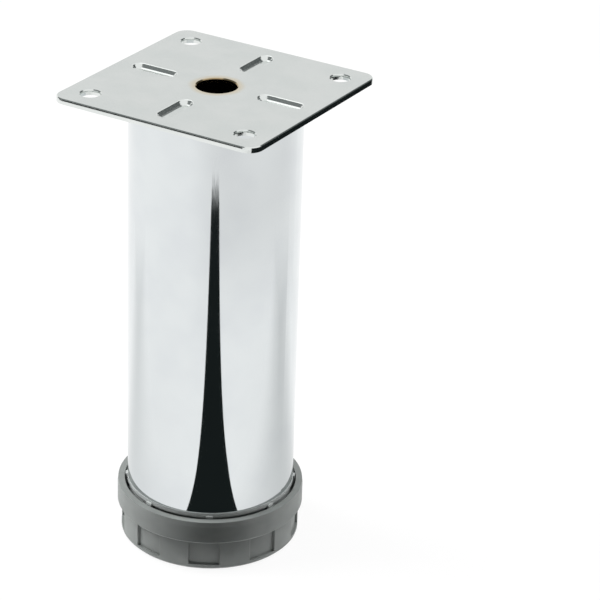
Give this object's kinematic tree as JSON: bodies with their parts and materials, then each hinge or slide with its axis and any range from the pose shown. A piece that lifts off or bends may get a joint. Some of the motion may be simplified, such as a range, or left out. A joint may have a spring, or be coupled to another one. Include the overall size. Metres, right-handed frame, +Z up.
{
  "type": "adjustable cabinet leg",
  "caption": "Round chromed steel cabinet leg with a square mounting plate and a plastic screw-adjusted foot.",
  "frame": {"origin": "middle of the foot's underside, with the foot screwed fully in", "axes": "+Z up the tube to the mounting plate; the plate's sides lie along X and Y"},
  "size_m": [0.08, 0.08, 0.172],
  "materials": {
    "chrome_plate": "satin chrome plate on pressed steel",
    "chrome_tube": "bright chrome plate on a polished steel tube",
    "chrome_weld": "chrome plate over weld metal",
    "plug_plastic": "moulded satin",
    "foot_plastic": "moulded satin",
    "zinc_steel": "zinc plated"
  },
  "bodies": {
    "leg": {"mounting_plate": "chrome_plate", "leg_tube": "chrome_tube", "weld_nuggets": "chrome_weld", "tube_plug": "plug_plastic", "adjuster_nut": "zinc_steel"},
    "foot": {"foot_cup": "foot_plastic", "adjusting_screw": "zinc_steel"}
  },
  "joints": [
    {"name": "foot_height", "type": "slide", "parent": "leg", "child": "foot", "axis": [0, 0, -1], "range_m": [0, 0.015]}
  ]
}
